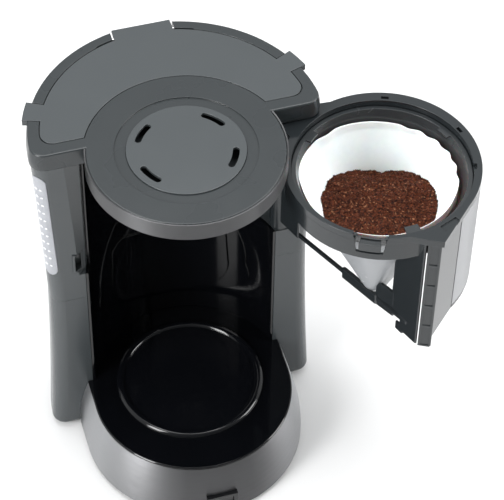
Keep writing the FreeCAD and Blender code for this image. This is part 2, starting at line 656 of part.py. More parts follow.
def heater_tube():
    body = heater_u(60, HEATER_Z, 5.0)
    for x in (-RISER_X, RISER_X):
        body = body.fuse(Part.makeCylinder(HOSE_BORE, 12, V(x, 58, HEATER_Z), ALONG_Y))
    return body.cut(heater_u(70, HEATER_Z, 2.2))


def heater_element():
    radius = 3.2
    return heater_u(33, PLATFORM_Z - 0.4 - radius, radius)


def heater_clamp():
    strap = box(-50, 50, -9, 9, HEATER_Z - 6.6, HEATER_Z - 5.0)
    return strap.cut(cylinder(2.1, 0, 60))


def clamp_stud():
    stud = cylinder(2.0, HEATER_Z - 11, PLATFORM_Z - 0.4)
    corners = [polar(3.9, 60 * i) for i in range(6)]
    nut = prism([(p.x, p.y) for p in corners], HEATER_Z - 9.8, HEATER_Z - 6.6)
    return stud.fuse(nut)


def thermostat():
    body = cylinder(8.0, PLATFORM_Z - 8.4, PLATFORM_Z - 0.4, 0, 22)
    tabs = [box(x - 0.4, x + 0.4, 19, 25, PLATFORM_Z - 17, PLATFORM_Z - 8.4) for x in (-5, 5)]
    return body.multiFuse(tabs)


def thermal_fuses():
    parts = []
    for y in (-22.0, -28.0):
        centre = V(-10, y, PLATFORM_Z - 2.6)
        parts.append(Part.makeCylinder(2.2, 20, centre, ALONG_X))
    return Part.makeCompound(parts)


def terminal_block():
    block = box(-18, 18, 48, 60, 5.5, 17)
    for x in (-12, 0, 12):
        block = block.cut(cylinder(2.4, 12, 18, x, 54))
    return block


def wiring():
    """Three insulated leads from the terminal block."""
    z = 9.0
    supply = [(12, 60.1, z), (12, 72, z), (26, 92, z + 6), (GLAND_X, 108, GLAND_Z), (GLAND_X, 131, GLAND_Z)]
    to_switch = [(-12, 47.9, z), (-12, 30, z), (-8, -60, z), (-6, -83.4, SWITCH_Z)]
    to_thermostat = [(6, 47.9, z), (6, 36, z), (5, 24, z + 12), (5, 22, 40.6)]
    leads = [hose(supply, 4, 1.6, 0), hose(to_switch, 5, 1.2, 0), hose(to_thermostat, 4, 1.1, 0)]
    return Part.makeCompound(leads)


def cord_gland():
    body = Part.makeCylinder(GLAND_R, 15, V(GLAND_X, 122, GLAND_Z), ALONG_Y)
    body = body.fuse(Part.makeCylinder(GLAND_R + 2, 2.2, V(GLAND_X, 122, GLAND_Z), ALONG_Y))
    return body.cut(Part.makeCylinder(1.6, 30, V(GLAND_X, 120, GLAND_Z), ALONG_Y))


# ---- switch ------------------------------------------------------------------------
def switch_bezel():
    frame = box(-13, 13, SWITCH_Y - 4.2, SWITCH_Y + 4, SWITCH_Z - 9, SWITCH_Z + 9).cut(band_outside())
    frame = frame.fuse(box(-11.4, 11.4, SWITCH_Y - 2, -84, SWITCH_Z - 7.4, SWITCH_Z + 7.4))
    frame = frame.cut(box(-9.5, 9.5, SWITCH_Y - 5, -86, SWITCH_Z - 6.1, SWITCH_Z + 6.1))
    return frame.cut(Part.makeCylinder(1.5, 23, V(-11.4, SWITCH_Y + 3, SWITCH_Z), ALONG_X))


def switch_rocker():
    """Rocker with two faces that meet at its middle, at rest tipped to off."""
    y, z = SWITCH_Y + 3, SWITCH_Z
    slope = 5.0 * math.tan(math.radians(ROCKER_TILT))
    side = [V(-9.2, y - 6.6, z - 5.0), V(-9.2, y - 6.6 + slope, z), V(-9.2, y - 6.6, z + 5.0),
            V(-9.2, y + 2, z + 4.2), V(-9.2, y + 2, z - 4.2)]
    rocker = face_of(side).extrude(V(18.4, 0, 0))
    rocker = rocker.fuse(Part.makeCylinder(1.5 - RUNNING, 22.4, V(-11.2, y, z), ALONG_X))
    rocker.rotate(V(0, y, z), ALONG_X, -ROCKER_TILT)
    return rocker


# ---- filter holder, drawn closed ------------------------------------------------------
LATCH_A = V(-78.8, 23.1, 0)
LATCH_B = V(-85.9, 16.9, 0)
LATCH_DEPTH = 4.0
FLANGE_Z = 316.0
SHELL_LOW = 213.4
BARREL_R = 8.5
SHELL_ANGLES = (192.0, 366.0)
NOTCH_ANGLE = 132.5
RIM_X = RIM_OFFSET * math.cos(math.radians(NOTCH_ANGLE))
RIM_Y = RIM_OFFSET * math.sin(math.radians(NOTCH_ANGLE))


def filter_frame():
    """Ring, ledge, latch bar, hinge barrel and lower rails in one moulding."""
    ring = cylinder(HOLDER_R, FLANGE_Z, HOLDER_TOP)
    touch = polar(HOLDER_R, 204.7)
    latch_side = [(touch.x, touch.y), (LATCH_B.x - 1.6, LATCH_B.y - 2.0), (LATCH_B.x, LATCH_B.y),
                  (LATCH_A.x, LATCH_A.y), (-62, 36)]
    hinge_side = [(74.3, -10), (SWING_X + 7.6, SWING_Y - 3.6), (SWING_X, SWING_Y),
                  (SWING_X - 3, SWING_Y + 8), (62, 38)]
    arms = [prism(side, FLANGE_Z, HOLDER_TOP) for side in (latch_side, hinge_side)]
    arms.append(cylinder(BARREL_R, FLANGE_Z, HOLDER_TOP, SWING_X, SWING_Y))
    wall = tube(HOLDER_R - 0.9, 71.8, 297, FLANGE_Z)
    frame = ring.multiFuse(arms).removeSplitter().multiFuse([wall, cylinder(72, 311.4, 314.2)])
    frame = frame.cut(rim_opening()).cut(cylinder(63.0, 290, WEDGE_TOP)).cut(flare(0.7, HOLDER_TOP))
    frame = frame.multiFuse(latch_parts() + hinge_parts() + lower_rails())
    for angle in (230.2, 262.6, 318.3):
        frame = frame.cut(sector(68.2, 71.0, angle - 2.4, angle + 2.4, 318, HOLDER_TOP + 1))
    frame = frame.cut(box(-79.5, -73.5, -8, 8, 320.6, HOLDER_TOP + 1))
    frame = frame.cut(filter_shell()).cut(basket_space()).cut(thumb_notch())
    bore = cylinder(3.0 + RUNNING, 190, TOP_Z, SWING_X, SWING_Y)
    return frame.cut(bore)


def rim_opening():
    return cylinder(RIM_R, 314.2, HOLDER_TOP + 1, RIM_X, RIM_Y)


def flare(growth, top):
    """Cone from the round end of the wedge to the mouth of the basket, grown by a gap."""
    start = Part.makeCircle(WEDGE_R + growth, V(0, 0, WEDGE_TOP), UP)
    mouth = Part.makeCircle(MOUTH_R + growth, V(RIM_X, RIM_Y, RIM_TOP), UP)
    cone = Part.makeLoft([Part.Wire([start]), Part.Wire([mouth])], True, True)
    if top > RIM_TOP:
        cone = cone.fuse(cylinder(MOUTH_R + growth, RIM_TOP, top, RIM_X, RIM_Y))
    return cone


def thumb_notch():
    """Tapered gap through the ring where the grip of the basket is reached."""
    low, top = 303.0, HOLDER_TOP + 1
    half_low, half_top = 10.0, 13.2
    side = [V(61.5, -half_low, low), V(61.5, half_low, low), V(61.5, half_top, top), V(61.5, -half_top, top)]
    gap = face_of(side).extrude(V(20, 0, 0))
    gap.rotate(V(0, 0, 0), UP, NOTCH_ANGLE)
    return gap


def latch_parts():
    """Ribbed bar that meets the left column, its webs and the hooked panel beside it."""
    run = (LATCH_B - LATCH_A).normalize()
    inward = V(-run.y, run.x, 0) * LATCH_DEPTH
    length = (LATCH_B - LATCH_A).Length
    top = HOLDER_TOP - 4

    def rib(start, end, z0, z1):
        p, q = LATCH_A + run * start, LATCH_A + run * end
        corners = (p, q, q + inward, p + inward)
        return prism([(c.x, c.y) for c in corners], z0, z1)

    bar = plank(LATCH_A.x, LATCH_A.y - 2, LATCH_B.x + 1.4, LATCH_B.y - 1.3, 2.2, LATCH_LOW, FLANGE_Z)
    ribs = [rib(0, 2.2, LATCH_LOW, top), rib(length - 1.2, length, LATCH_LOW, top)]
    cells = 5
    for i in range(cells + 1):
        z = LATCH_LOW + (top - 1.6 - LATCH_LOW) * i / cells
        ribs.append(rib(0, length, z, z + 1.6))
    end = polar(HOLDER_R - 1.4, SHELL_ANGLES[0])
    web = plank(LATCH_B.x + 1.4, LATCH_B.y - 1.3, end.x, end.y, 2.2, LATCH_LOW + 12, FLANGE_Z)
    panel = plank(-75.6, 22.4, -47, 22.5, 2.2, 212, FLANGE_Z)
    tongue = plank(-75.6, 22.4, -58, 22.6, 2.2, LATCH_LOW, 214)
    hook = plank(-60, 22.6, -53.6, 22.5, 2.2, LATCH_LOW - 3, LATCH_LOW + 4.5)
    plate = plank(-48, 22.6, -31, 24.6, 2.2, 205, 232)
    return [bar, web, panel, tongue, hook, plate] + ribs


def hinge_parts():
    barrel = cylinder(BARREL_R, SHOULDER_Z + 1.2, HOLDER_TOP, SWING_X, SWING_Y)
    end = polar(HOLDER_R - 1.6, SHELL_ANGLES[1])
    front = plank(SWING_X - 2, SWING_Y - 5, end.x, end.y, 2.6, 206, FLANGE_Z)
    rear = plank(SWING_X - 4, SWING_Y + 3.4, 56, 33.0, 2.6, 210, FLANGE_Z)
    return [barrel, front, rear]


def lower_rails():
    """Rails that close the frame below the basket, the straight one with a swell."""
    a0, a1 = SHELL_ANGLES
    rim = sector(HOLDER_R - 3.4, HOLDER_R - 0.9, a0, a1, 210, SHELL_LOW + 2.6)
    lip = sector(HOLDER_R - 3.4, HOLDER_R, a0, a1, 210, SHELL_LOW - 0.2)
    rail = plank(-64, 22.8, 56, 32.4, 2.4, 210.5, 213.5)
    swell = plank(-31, 25.4, 4, 28.2, 3.4, 206, 216)
    return [rim, lip, rail, swell]


def filter_shell():
    """Curved front of the holder, flush with the head when closed."""
    a0, a1 = SHELL_ANGLES
    return sector(HOLDER_R - 0.8, HOLDER_R, a0, a1, SHELL_LOW, FLANGE_Z - 0.1)


def filter_hinge_pin():
    return cylinder(3.0, SHOULDER_Z - 13.5, TOP_Z - 6.5, SWING_X, SWING_Y)


# The basket is a wedge: round at its rim and a blunt ridge at its floor.
BASKET_FLOOR = 217.0
WEDGE_TOP = 300.0
WEDGE_R = 61.6
RIDGE_ANGLE = 139.0
RIDGE_HALF, RIDGE_R = 36.0, 9.5
SKIN = 1.8


def wedge_outline(z, inset=0.0):
    """Plan of the wedge at one height, four arcs that flatten towards the ridge."""
    t = min(max((z - BASKET_FLOOR) / (WEDGE_TOP - BASKET_FLOOR), 0.0), 1.0)
    end_r = RIDGE_R + (WEDGE_R - RIDGE_R) * t - inset
    centre = (RIDGE_HALF - RIDGE_R) * (1 - t)
    turn = math.radians(90 - 30 * t)
    bend = [V(centre + end_r * math.cos(a), end_r * math.sin(a), z) for a in (-turn, 0, turn)]
    right, left = bend, [V(-p.x, -p.y, z) for p in bend]

    def flank(start, y, end):
        if t == 0:
            return Part.makeLine(start, end)
        return Part.Arc(start, V(0, y, z), end).toShape()

    wire = Part.Wire([Part.Arc(*right).toShape(), flank(right[2], end_r, left[0]),
                      Part.Arc(*left).toShape(), flank(left[2], -end_r, right[0])])
    wire.rotate(V(0, 0, 0), UP, RIDGE_ANGLE)
    return wire


def wedge(z0, z1, inset=0.0):
    """Solid wedge between two heights, ruled from ridge to rim."""
    return Part.makeLoft([wedge_outline(z0, inset), wedge_outline(z1, inset)], True, True)


def basket_space():
    """Room that the basket needs inside the frame."""
    gap = 0.6
    room = wedge(BASKET_FLOOR - 3, WEDGE_TOP, -gap).fuse(flare(gap + 0.1, RIM_TOP))
    return room.multiFuse([cylinder(12, BASKET_FLOOR - 12, BASKET_FLOOR), rim_opening()])


def filter_basket():
    """Wedge with a flared round mouth, a grip in the thumb notch and the outlet collar."""
    wall = wedge(BASKET_FLOOR - 2, WEDGE_TOP).fuse(flare(0.0, RIM_TOP))
    rim = cylinder(RIM_R - 0.6, RIM_TOP - 2.0, RIM_TOP, RIM_X, RIM_Y)
    half_grip = 6.6
    reach = (NOTCH_ANGLE - half_grip, NOTCH_ANGLE + half_grip)
    grip = sector(65.0, 73.6, *reach, 308.6, 310.2).fuse(sector(72.0, 73.6, *reach, 304.2, 312.0))
    hollow = wedge(BASKET_FLOOR, WEDGE_TOP, SKIN).fuse(flare(-SKIN, RIM_TOP + 1))
    collar = tube(10.6, 9.2, BASKET_FLOOR - 9, BASKET_FLOOR - 1)
    basket = wall.fuse(rim).cut(hollow).multiFuse([collar, grip])
    basket = basket.cut(cylinder(4.4, BASKET_FLOOR - 5, BASKET_FLOOR + 1))
    dip = sector(58.0, 72.0, NOTCH_ANGLE - 9, NOTCH_ANGLE + 9, 311.4, RIM_TOP + 1)
    basket = basket.cut(dip)
    lugs = [sector(60.0, 72.0, a - 5, a + 5, 314.9, RIM_TOP).common(wall) for a in (20, 160, 270)]
    return basket.multiFuse(lugs)


PAPER_LOW = 225.0
PAPER_TOP = 309.5
GROUNDS_Z = 273.0
PAPER_INSET = SKIN + 1.0


def paper_filter():
    thick = 0.9
    outer = wedge(PAPER_LOW, WEDGE_TOP, PAPER_INSET)
    outer = outer.fuse(cylinder(WEDGE_R - PAPER_INSET, WEDGE_TOP, PAPER_TOP))
    inner = wedge(PAPER_LOW + thick, WEDGE_TOP, PAPER_INSET + thick)
    inner = inner.fuse(cylinder(WEDGE_R - PAPER_INSET - thick, WEDGE_TOP, PAPER_TOP + 1))
    return outer.cut(inner)


def coffee_grounds():
    """Heap of ground coffee with a slightly raised middle."""
    z = GROUNDS_Z
    heap = wedge(PAPER_LOW + 1.4, z, PAPER_INSET + 2.6)
    crown = turned([(0, z - 1), (36, z - 1), (36, z), (24, z + 3.4), (12, z + 5.2), (0, z + 5.8)])
    return heap.fuse(crown)


def drip_valve():
    head = cylinder(6.6, BASKET_FLOOR + 1.2, BASKET_FLOOR + 2.6)
    stem = cylinder(2.0, BASKET_FLOOR - 13, BASKET_FLOOR + 1.2)
    button = cylinder(8.4, BASKET_FLOOR - 14, BASKET_FLOOR - 11)
    return head.multiFuse([stem, button])


def drip_seal():
    return tube(6.4, 4.6, BASKET_FLOOR + 0.1, BASKET_FLOOR + 1.2)


def drip_spring():
    """Compression spring between the basket floor and the button."""
    z0, z1 = BASKET_FLOOR - 11, BASKET_FLOOR - 2.0
    wire, radius, turns = 0.35, 3.4, 5
    height = z1 - z0 - 2 * wire
    helix = Part.makeHelix(height / turns, height, radius)
    ring = Part.Wire([Part.makeCircle(wire, V(radius, 0, 0), ALONG_Y)])
    coil = Part.Wire(helix.Edges).makePipeShell([ring], True, True)
    coil.translate(V(0, 0, z0 + wire))
    return coil


BODY_PARTS = {
    "lower_housing": lower_housing,
    "upper_housing": upper_housing,
    "bay_liner": bay_liner,
    "top_cover": top_cover,
    "head_band": head_band,
    "vent_insert": vent_insert,
    "tank_lid": tank_lid,
    "lid_hinge_pin": lid_hinge_pin,
    "head_under_cover": head_under_cover,
    "spray_head": spray_head,
    "level_window": window_solid,
    "latch_catch": latch_catch,
    "base_platform": base_platform,
    "base_band": base_band,
    "bottom_cover": bottom_cover,
    "rubber_feet": rubber_feet,
    "housing_screws": housing_screws,
    "hot_plate": hot_plate,
    "plate_gasket": plate_gasket,
    "heater_tube": heater_tube,
    "heater_element": heater_element,
    "heater_clamp": heater_clamp,
    "clamp_stud": clamp_stud,
    "thermostat": thermostat,
    "thermal_fuses": thermal_fuses,
    "inlet_hose": lambda: water_hose(INLET_X, VALVE_Z0),
    "riser_hose": riser_hose,
    "hose_clamps": hose_clamps,
    "check_valve_body": check_valve_body,
    "check_valve_ball": check_valve_ball,
    "tank_strainer": tank_strainer,
    "terminal_block": terminal_block,
    "wiring": wiring,
    "cord_gland": cord_gland,
    "switch_bezel": switch_bezel,
    "switch_rocker": switch_rocker,
    "filter_hinge_pin": filter_hinge_pin,
}

HOLDER_PARTS = {
    "filter_frame": filter_frame,
    "filter_shell": filter_shell,
    "filter_basket": filter_basket,
    "paper_filter": paper_filter,
    "coffee_grounds": coffee_grounds,
    "drip_valve": drip_valve,
    "drip_seal": drip_seal,
    "drip_spring": drip_spring,
}


def main():
    os.makedirs("parts", exist_ok=True)
    for name, build in BODY_PARTS.items():
        build().exportStep("parts/" + name + ".step")
    for name, build in HOLDER_PARTS.items():
        swing(build()).exportStep("parts/" + name + ".step")


main()
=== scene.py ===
import math
import random

import bpy
from mathutils import Matrix, Vector, noise
from mathutils.bvhtree import BVHTree


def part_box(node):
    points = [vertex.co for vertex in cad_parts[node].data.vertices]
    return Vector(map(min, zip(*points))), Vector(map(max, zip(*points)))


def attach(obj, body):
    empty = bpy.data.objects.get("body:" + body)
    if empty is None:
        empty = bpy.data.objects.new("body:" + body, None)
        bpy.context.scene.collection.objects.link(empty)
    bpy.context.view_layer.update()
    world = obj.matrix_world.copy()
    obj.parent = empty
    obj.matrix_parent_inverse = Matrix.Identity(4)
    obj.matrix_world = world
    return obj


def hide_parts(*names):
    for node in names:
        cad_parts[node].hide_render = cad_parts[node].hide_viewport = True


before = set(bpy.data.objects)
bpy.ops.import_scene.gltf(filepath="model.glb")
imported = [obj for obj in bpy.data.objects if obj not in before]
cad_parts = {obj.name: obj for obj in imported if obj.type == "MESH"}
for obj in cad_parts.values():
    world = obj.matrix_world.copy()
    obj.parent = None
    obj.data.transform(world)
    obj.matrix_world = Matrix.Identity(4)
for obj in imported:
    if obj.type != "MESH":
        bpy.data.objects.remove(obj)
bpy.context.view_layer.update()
MM = 0.001


# ---- places, all worked out from the frame ---------------------------------------
def centre_of(node):
    low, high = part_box(node)
    return Vector([(a + b) / 2 for a, b in zip(low, high)])


HOLDER = centre_of("paper_filter").to_2d()           # upright axis of the open filter holder
PAPER_LOW, PAPER_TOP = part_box("paper_filter")[0][2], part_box("paper_filter")[1][2]
COFFEE_LOW, COFFEE_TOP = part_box("coffee_grounds")[0][2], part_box("coffee_grounds")[1][2]
BASE_REACH = 92.0 * MM                               # from the base's upright axis to its front
BASE_AXIS = Vector((0.0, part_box("base_band")[0][1] + BASE_REACH))

# the wedge that the basket, the paper and the coffee share
RIDGE_TURN = Matrix.Rotation(math.radians(251.0), 2)
RIDGE_HALF, RIDGE_R, RIM_R = 36.0 * MM, 9.5 * MM, 61.6 * MM
WEDGE_LOW, WEDGE_TOP = 217.0 * MM, 300.0 * MM
PAPER_INSET = 2.9 * MM
OUTLINE = 480                                        # points round the paper and the coffee

# the heap of coffee
HEAP_R, HEAP_RISE = 45.0 * MM, 6.5
EDGE_DROP = 6.0 * MM                                 # its edge under its top
LOW_SIDE = math.radians(73)                          # the way in which it has slid down


# ---- camera -----------------------------------------------------------------------
def set_camera():
    """Camera in front and to the left, looking down at the head and the open filter."""
    azimuth, elevation, roll = math.radians(-17.05), math.radians(49.42), math.radians(1.06)
    target = Vector((0.0473, -0.0170, 0.2287))
    distance = 1.7162
    back = Vector((math.sin(azimuth) * math.cos(elevation), -math.cos(azimuth) * math.cos(elevation),
                   math.sin(elevation)))
    right = (-back).cross(Vector((0, 0, 1))).normalized()
    up = right.cross(-back)
    side = right * math.cos(roll) + up * math.sin(roll)
    top = up * math.cos(roll) - right * math.sin(roll)
    data = bpy.data.cameras.new("camera")
    data.lens, data.sensor_width = 156.66, 36.0
    data.clip_end = 20
    camera = bpy.data.objects.new("camera", data)
    turn = Matrix((side, top, back)).transposed().to_4x4()
    camera.matrix_world = Matrix.Translation(target + back * distance) @ turn
    bpy.context.collection.objects.link(camera)
    bpy.context.scene.camera = camera


# ---- studio -----------------------------------------------------------------------
def area_light(name, place, aim, width, height, power):
    data = bpy.data.lights.new(name, "AREA")
    data.energy = power
    data.shape = "RECTANGLE"
    data.size, data.size_y = width, height
    light = bpy.data.objects.new(name, data)
    light.location = place
    way = Vector(aim) - Vector(place)
    light.rotation_euler = way.to_track_quat("-Z", "Y").to_euler()
    bpy.context.collection.objects.link(light)


def set_world():
    """White room, dark behind the camera."""
    world = bpy.data.worlds.new("studio")
    bpy.context.scene.world = world
    world.use_nodes = True
    nodes, links = world.node_tree.nodes, world.node_tree.links
    coordinates = nodes.new("ShaderNodeTexCoord")
    split = nodes.new("ShaderNodeSeparateXYZ")
    ramp = nodes.new("ShaderNodeMapRange")
    ramp.inputs["From Min"].default_value = -0.9
    ramp.inputs["From Max"].default_value = 0.3
    ramp.inputs["To Min"].default_value = 0.15
    ramp.inputs["To Max"].default_value = 0.9
    links.new(coordinates.outputs["Generated"], split.inputs[0])
    links.new(split.outputs["Y"], ramp.inputs["Value"])
    links.new(ramp.outputs["Result"], nodes["Background"].inputs["Strength"])
    nodes["Background"].inputs["Color"].default_value = (0.97, 0.99, 1.0, 1.0)


def set_studio():
    set_world()
    area_light("overhead", (0.1, 0.2, 1.9), (0.05, 0.0, 0.1), 1.6, 1.2, 30)
    area_light("left_key", (-1.45, -0.75, 1.05), (0, 0, 0.2), 0.6, 1.4, 38)
    area_light("right_fill", (1.5, -0.45, 0.95), (0, 0, 0.2), 0.7, 1.2, 20)
    bpy.context.scene.view_settings.view_transform = "Standard"
    mesh = bpy.data.meshes.new("floor")
    half = 8.0
    corners = [(-half, -half, 0), (half, -half, 0), (half, half, 0), (-half, half, 0)]
    mesh.from_pydata(corners, [], [(0, 1, 2, 3)])
    floor = bpy.data.objects.new("floor", mesh)
    bpy.context.collection.objects.link(floor)
    paint = bpy.data.materials.new("floor_white")
    paint.use_nodes = True
    shader = paint.node_tree.nodes["Principled BSDF"]
    shader.inputs["Base Color"].default_value = (0.72, 0.72, 0.72, 1)
    shader.inputs["Roughness"].default_value = 0.9
    mesh.materials.append(paint)


# ---- material graphs ----------------------------------------------------------------
class Finish:
    """One material with short calls for its nodes; textures follow the object's own coordinates."""

    def __init__(self, name, **uniform):
        self.material = bpy.data.materials.new(name)
        self.material.use_nodes = True
        self.tree = self.material.node_tree
        self.shader = self.tree.nodes["Principled BSDF"]
        self.place = self.node("ShaderNodeTexCoord").outputs["Object"]
        for socket, value in uniform.items():
            self.shader.inputs[socket.replace("_", " ")].default_value = value

    def node(self, kind, **settings):
        made = self.tree.nodes.new(kind)
        for key, value in settings.items():
            setattr(made, key, value)
        return made

    def feed(self, socket, value):
        if isinstance(value, bpy.types.NodeSocket):
            self.tree.links.new(value, socket)
        elif isinstance(value, tuple) and len(value) == 3 and socket.type == "RGBA":
            socket.default_value = (*value, 1.0)
        else:
            socket.default_value = value

    def noise(self, scale, detail=2.0, roughness=0.5, place=None):
        made = self.node("ShaderNodeTexNoise")
        self.feed(made.inputs["Vector"], place or self.place)
        made.inputs["Scale"].default_value = scale
        made.inputs["Detail"].default_value = detail
        made.inputs["Roughness"].default_value = roughness
        return made.outputs["Fac"]

    def cells(self, scale):
        made = self.node("ShaderNodeTexVoronoi")
        self.feed(made.inputs["Vector"], self.place)
        made.inputs["Scale"].default_value = scale
        return made.outputs["Color"]

    def maths(self, operation, a, b=0.0):
        made = self.node("ShaderNodeMath", operation=operation)
        self.feed(made.inputs[0], a)
        self.feed(made.inputs[1], b)
        return made.outputs[0]

    def vector(self, operation, a, b):
        made = self.node("ShaderNodeVectorMath", operation=operation)
        self.feed(made.inputs[0], a)
        self.feed(made.inputs[1], b)
        return made.outputs["Value" if operation == "DOT_PRODUCT" else "Vector"]

    def remap(self, value, low, high, start=0.3, end=0.7):
        made = self.node("ShaderNodeMapRange")
        self.feed(made.inputs["Value"], value)
        for socket, number in (("From Min", start), ("From Max", end), ("To Min", low), ("To Max", high)):
            made.inputs[socket].default_value = number
        return made.outputs["Result"]

    def mix(self, factor, first, second):
        made = self.node("ShaderNodeMix", data_type="RGBA")
        self.feed(made.inputs[0], factor)
        self.feed(made.inputs[6], first)
        self.feed(made.inputs[7], second)
        return made.outputs[2]

    def colour(self, value):
        self.feed(self.shader.inputs["Base Color"], value)

    def roughness(self, value):
        self.feed(self.shader.inputs["Roughness"], value)

    def soft_edges(self, radius):
        """Normal that rounds the edges by a radius."""
        made = self.node("ShaderNodeBevel", samples=6)
        made.inputs["Radius"].default_value = radius
        return made.outputs["Normal"]

    def relief(self, height, depth, strength, normal=None):
        """Bumps of a depth in metres, over the plain or the rounded normal."""
        made = self.node("ShaderNodeBump")
        self.feed(made.inputs["Height"], height)
        made.inputs["Distance"].default_value = depth
        made.inputs["Strength"].default_value = strength
        if normal is not None:
            self.feed(made.inputs["Normal"], normal)
        self.feed(self.shader.inputs["Normal"], made.outputs["Normal"])

    def around(self, axis, facing):
        """Angle about an upright axis, from a facing direction, and the height."""
        from_axis = self.vector("SUBTRACT", self.place, (axis[0], axis[1], 0.0))
        c, s = math.cos(facing), math.sin(facing)
        ahead = self.vector("DOT_PRODUCT", from_axis, (c, s, 0.0))
        aside = self.vector("DOT_PRODUCT", from_axis, (-s, c, 0.0))
        split = self.node("ShaderNodeSeparateXYZ")
        self.feed(split.inputs[0], self.place)
        return self.maths("ARCTAN2", aside, ahead), split.outputs["Z"]


def moulded_black(name, tone, rough, grain, edge):
    """Moulded plastic with a fine spark-eroded grain and faint cloudiness."""
    finish = Finish(name, IOR=1.5)
    cloud = finish.noise(16, 3)
    finish.colour(finish.mix(cloud, tuple(0.94 * c for c in tone), tuple(1.06 * c for c in tone)))
    finish.roughness(finish.remap(finish.noise(30, 2), rough - 0.02, rough + 0.02))
    finish.relief(finish.noise(1300, 1), grain, 0.3, finish.soft_edges(edge))
    return finish.material


def polished_black(name, tone, rough):
    """Glossy plastic, slightly wavy, with faint wipe marks in its gloss."""
    finish = Finish(name, IOR=1.46)
    finish.colour(finish.mix(finish.noise(30, 3), tone, tuple(1.5 * c for c in tone)))
    finish.roughness(finish.remap(finish.noise(45, 5, 0.7), rough, rough + 0.05))
    finish.relief(finish.noise(90, 1), 0.00002, 0.3, finish.soft_edges(0.6 * MM))
    return finish.material


def brushed_steel(name, axis, facing, radius, tone=0.30, front_shade=0.9, rough=0.4):
    """Steel brushed round an upright axis, with painted shade where it faces its front: a darker tone that
    stands in for the dark reflection of the room in front.
    """
    finish = Finish(name, Metallic=1.0, Anisotropic=0.85, Anisotropic_Rotation=0.25)
    angle, height = finish.around(axis, facing)
    stretch = finish.node("ShaderNodeCombineXYZ")
    finish.feed(stretch.inputs["X"], finish.maths("MULTIPLY", angle, 60 * radius))
    finish.feed(stretch.inputs["Y"], finish.maths("MULTIPLY", height, 2600.0))
    lines = finish.noise(1.0, 4, 0.6, stretch.outputs[0])
    dark, pale = (0.86, 0.87, 0.90), (1.12, 1.13, 1.15)
    brushed = finish.mix(lines, tuple(tone * c for c in dark), tuple(tone * c for c in pale))
    # painted shade: the colour blends towards a darker tone where the steel faces its front, a painted
    # reflection of the dark room in front of it
    ahead = finish.remap(finish.maths("COSINE", angle), 0.0, 1.0, 0.25, 0.95)
    finish.colour(finish.mix(ahead, brushed, (tone * front_shade, tone * front_shade, tone * front_shade * 1.03)))
    finish.roughness(finish.remap(lines, rough - 0.06, rough + 0.08))
    tangent = finish.node("ShaderNodeTangent", direction_type="RADIAL", axis="Z")
    finish.feed(finish.shader.inputs["Tangent"], tangent.outputs[0])
    finish.relief(lines, 0.00001, 0.5, finish.soft_edges(0.5 * MM))
    return finish.material


def basket_plastic(dark_above):
    """Grey cone under a dark rim."""
    finish = Finish("basket_plastic", IOR=1.5)
    split = finish.node("ShaderNodeSeparateXYZ")
    finish.feed(split.inputs[0], finish.place)
    rim = finish.remap(split.outputs["Z"], 0.0, 1.0, dark_above - 0.5 * MM, dark_above + 0.5 * MM)
    cone = finish.mix(finish.noise(18, 3), (0.25, 0.26, 0.272), (0.31, 0.32, 0.333))
    finish.colour(finish.mix(rim, cone, (0.022, 0.025, 0.027)))
    finish.roughness(finish.remap(finish.noise(60, 4), 0.2, 0.28))
    finish.relief(finish.noise(1300, 1), 0.00001, 0.3, finish.soft_edges(0.5 * MM))
    return finish.material


def plain_metal(name, tone, rough, lump=900, depth=0.00002):
    finish = Finish(name, Metallic=1.0)
    cloud = finish.noise(lump / 6, 4)
    finish.colour(finish.mix(cloud, tuple(0.85 * c for c in tone), tone))
    finish.roughness(finish.remap(cloud, rough, rough + 0.12))
    finish.relief(finish.noise(lump, 3), depth, 0.5, finish.soft_edges(0.25 * MM))
    return finish.material


def enamel():
    """Black non-stick coat of the hot plate, with fine specks and slightly uneven gloss."""
    finish = Finish("plate_coat", IOR=1.48)
    specks = finish.remap(finish.noise(1500, 1), 0.0, 1.0, 0.62, 0.74)
    finish.colour(finish.mix(specks, (0.0022, 0.0025, 0.0035), (0.012, 0.0125, 0.014)))
    finish.roughness(finish.remap(finish.noise(60, 4), 0.07, 0.12))
    finish.relief(finish.noise(1500, 2), 0.00002, 0.4, finish.soft_edges(0.4 * MM))
    return finish.material


def clouded_window():
    """Milky clear plastic of the water gauge."""
    finish = Finish("window", IOR=1.5, Transmission_Weight=0.18)
    finish.colour(finish.mix(finish.noise(160, 3), (0.30, 0.31, 0.335), (0.42, 0.43, 0.46)))
    finish.roughness(finish.remap(finish.noise(300, 3), 0.28, 0.42))
    finish.relief(finish.noise(420, 2), 0.00015, 0.6, finish.soft_edges(0.5 * MM))
    return finish.material


def soft_polymer(name, tone, rough, grain=1500):
    finish = Finish(name, IOR=1.45)
    finish.colour(finish.mix(finish.noise(50, 3), tuple(0.88 * c for c in tone), tone))
    finish.roughness(finish.remap(finish.noise(200, 3), rough - 0.05, rough + 0.05))
    finish.relief(finish.noise(grain, 3), 0.00004, 0.6, finish.soft_edges(0.4 * MM))
    return finish.material


def filter_paper():
    """White crepe paper: fibres, faint mottling and a little light through it."""
    finish = Finish("paper", IOR=1.4, Specular_IOR_Level=0.2, Subsurface_Weight=0.2, Subsurface_Scale=0.002)
    mottle = finish.noise(220, 5, 0.65)
    finish.colour(finish.mix(mottle, (0.86, 0.86, 0.86), (0.95, 0.95, 0.94)))
    finish.roughness(finish.remap(mottle, 0.8, 0.95))
    finish.relief(finish.noise(1100, 4, 0.7), 0.00012, 0.7)
    return finish.material


